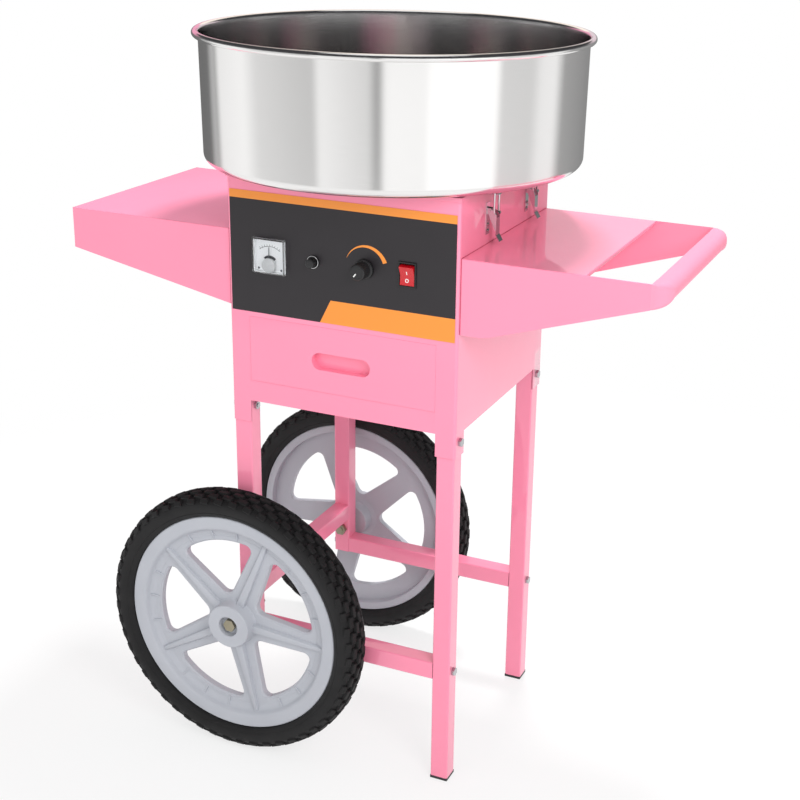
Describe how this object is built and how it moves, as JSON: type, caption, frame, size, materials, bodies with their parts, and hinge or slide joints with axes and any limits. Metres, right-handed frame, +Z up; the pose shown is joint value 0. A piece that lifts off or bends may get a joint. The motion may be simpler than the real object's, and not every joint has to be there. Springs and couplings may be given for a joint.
{
  "type": "cotton candy cart",
  "caption": "Wheeled cotton candy cart: sheet-metal machine body with drawer and control panel, steel spinning bowl on top, fixed side shelves and a push handle.",
  "frame": {"origin": "middle of the cart's box at floor level", "axes": "+Z up, -Y towards the control panel, +X towards the push handle, -X towards the wheels"},
  "size_m": [0.8404, 0.52, 0.994],
  "materials": {
    "pink_paint": "gloss powder coat",
    "zinc": "plain galvanised sheet",
    "fascia": "printed film",
    "black_plastic": "satin moulding",
    "dial": "printed card",
    "needle": "fine pointer",
    "window": "clear moulding",
    "red_plastic": "moulded rocker",
    "stainless": "polished stainless",
    "steel": "bright zinc plate",
    "seat": "soft ring",
    "motor": "dark enamel",
    "brass": "turned rings",
    "brush": "moulded board",
    "aluminium": "spun and satin",
    "heater": "heat tinted band",
    "grey_plastic": "satin moulding",
    "tyre": "moulded tread"
  },
  "bodies": {
    "cart": {"front_panel": "pink_paint", "left_side_panel": "pink_paint", "right_side_panel": "pink_paint", "back_panel": "pink_paint", "top_deck": "pink_paint", "left_legs": "pink_paint", "right_legs": "pink_paint", "front_rail": "pink_paint", "rear_rail": "pink_paint", "left_crossbar": "pink_paint", "left_shelf": "pink_paint", "right_shelf": "pink_paint", "push_handle": "pink_paint", "mid_shelf": "zinc", "bottom_plate": "zinc", "drawer_runners": "zinc", "control_fascia": "fascia", "meter_case": "black_plastic", "fuse_holder": "black_plastic", "switch_housing": "black_plastic", "cable_gland": "black_plastic", "foot_caps": "black_plastic", "heat_control": "black_plastic", "meter_dial": "dial", "meter_lens": "window", "bowl": "stainless", "bowl_seat": "seat", "motor": "motor", "brush_block": "brush", "transformer": "motor", "bowl_keepers": "steel", "latch_bases": "steel", "motor_bracket": "steel", "frame_bolts": "steel", "axle_bolts": "steel", "shelf_screws": "steel"},
    "drawer": {"drawer_front": "pink_paint", "drawer_tray": "zinc"},
    "head": {"drive_shaft": "steel", "slip_rings": "brass", "spinner_pan": "aluminium", "heater_ring": "heater", "spinner_lid": "aluminium"},
    "heat_knob": {"heat_knob": "black_plastic"},
    "switch_rocker": {"switch_rocker": "red_plastic"},
    "fuse_cap": {"fuse_cap": "black_plastic"},
    "meter_needle": {"meter_needle": "needle"},
    "front_wheel": {"front_wheel_rim": "grey_plastic", "front_tyre": "tyre"},
    "rear_wheel": {"rear_wheel_rim": "grey_plastic", "rear_tyre": "tyre"},
    "lever_fr": {"latch_lever_fr": "steel"},
    "bail_fr": {"latch_bail_fr": "steel"},
    "lever_rr": {"latch_lever_rr": "steel"},
    "bail_rr": {"latch_bail_rr": "steel"},
    "lever_fl": {"latch_lever_fl": "steel"},
    "bail_fl": {"latch_bail_fl": "steel"},
    "lever_rl": {"latch_lever_rl": "steel"},
    "bail_rl": {"latch_bail_rl": "steel"}
  },
  "joints": [
    {"name": "front_wheel_spin", "type": "hinge", "parent": "cart", "child": "front_wheel", "pos_m": [-0.15875, -0.185, 0.194], "axis": [0, 1, 0], "continuous": true},
    {"name": "rear_wheel_spin", "type": "hinge", "parent": "cart", "child": "rear_wheel", "pos_m": [-0.15875, 0.185, 0.194], "axis": [0, 1, 0], "continuous": true},
    {"name": "head_spin", "type": "hinge", "parent": "cart", "child": "head", "pos_m": [-0.01025, 0, 0.886], "axis": [0, 0, 1], "continuous": true},
    {"name": "drawer_slide", "type": "slide", "parent": "cart", "child": "drawer", "axis": [0, -1, 0], "range_m": [0, 0.22]},
    {"name": "knob_turn", "type": "hinge", "parent": "cart", "child": "heat_knob", "pos_m": [0.02425, -0.1576, 0.717], "axis": [0, 1, 0], "range_deg": [0, 270]},
    {"name": "rocker_tilt", "type": "hinge", "parent": "cart", "child": "switch_rocker", "pos_m": [0.08325, -0.1536, 0.717], "axis": [-1, 0, 0], "range_deg": [0, 20]},
    {"name": "fuse_cap_turn", "type": "hinge", "parent": "cart", "child": "fuse_cap", "pos_m": [-0.04775, -0.1576, 0.717], "axis": [0, -1, 0], "range_deg": [0, 90]},
    {"name": "needle_swing", "type": "hinge", "parent": "cart", "child": "meter_needle", "pos_m": [-0.11025, -0.1618, 0.705], "axis": [0, 1, 0], "range_deg": [-42, 42]},
    {"name": "lever_fr_turn", "type": "hinge", "parent": "cart", "child": "lever_fr", "pos_m": [0.15725, -0.07, 0.789], "axis": [0, -1, 0], "range_deg": [0, 90]},
    {"name": "bail_fr_turn", "type": "hinge", "parent": "lever_fr", "child": "bail_fr", "pos_m": [0.16418, -0.07, 0.785], "axis": [0, -1, 0], "range_deg": [-90, 0]},
    {"name": "lever_rr_turn", "type": "hinge", "parent": "cart", "child": "lever_rr", "pos_m": [0.15725, 0.07, 0.789], "axis": [0, -1, 0], "range_deg": [0, 90]},
    {"name": "bail_rr_turn", "type": "hinge", "parent": "lever_rr", "child": "bail_rr", "pos_m": [0.16418, 0.07, 0.785], "axis": [0, -1, 0], "range_deg": [-90, 0]},
    {"name": "lever_fl_turn", "type": "hinge", "parent": "cart", "child": "lever_fl", "pos_m": [-0.17775, -0.07, 0.789], "axis": [0, 1, 0], "range_deg": [0, 90]},
    {"name": "bail_fl_turn", "type": "hinge", "parent": "lever_fl", "child": "bail_fl", "pos_m": [-0.18468, -0.07, 0.785], "axis": [0, 1, 0], "range_deg": [-90, 0]},
    {"name": "lever_rl_turn", "type": "hinge", "parent": "cart", "child": "lever_rl", "pos_m": [-0.17775, 0.07, 0.789], "axis": [0, 1, 0], "range_deg": [0, 90]},
    {"name": "bail_rl_turn", "type": "hinge", "parent": "lever_rl", "child": "bail_rl", "pos_m": [-0.18468, 0.07, 0.785], "axis": [0, 1, 0], "range_deg": [-90, 0]}
  ],
  "couplings": [
    {"joint": "bail_fr_turn", "follows": "lever_fr_turn", "ratio": -1},
    {"joint": "bail_rr_turn", "follows": "lever_rr_turn", "ratio": -1},
    {"joint": "bail_fl_turn", "follows": "lever_fl_turn", "ratio": -1},
    {"joint": "bail_rl_turn", "follows": "lever_rl_turn", "ratio": -1}
  ]
}
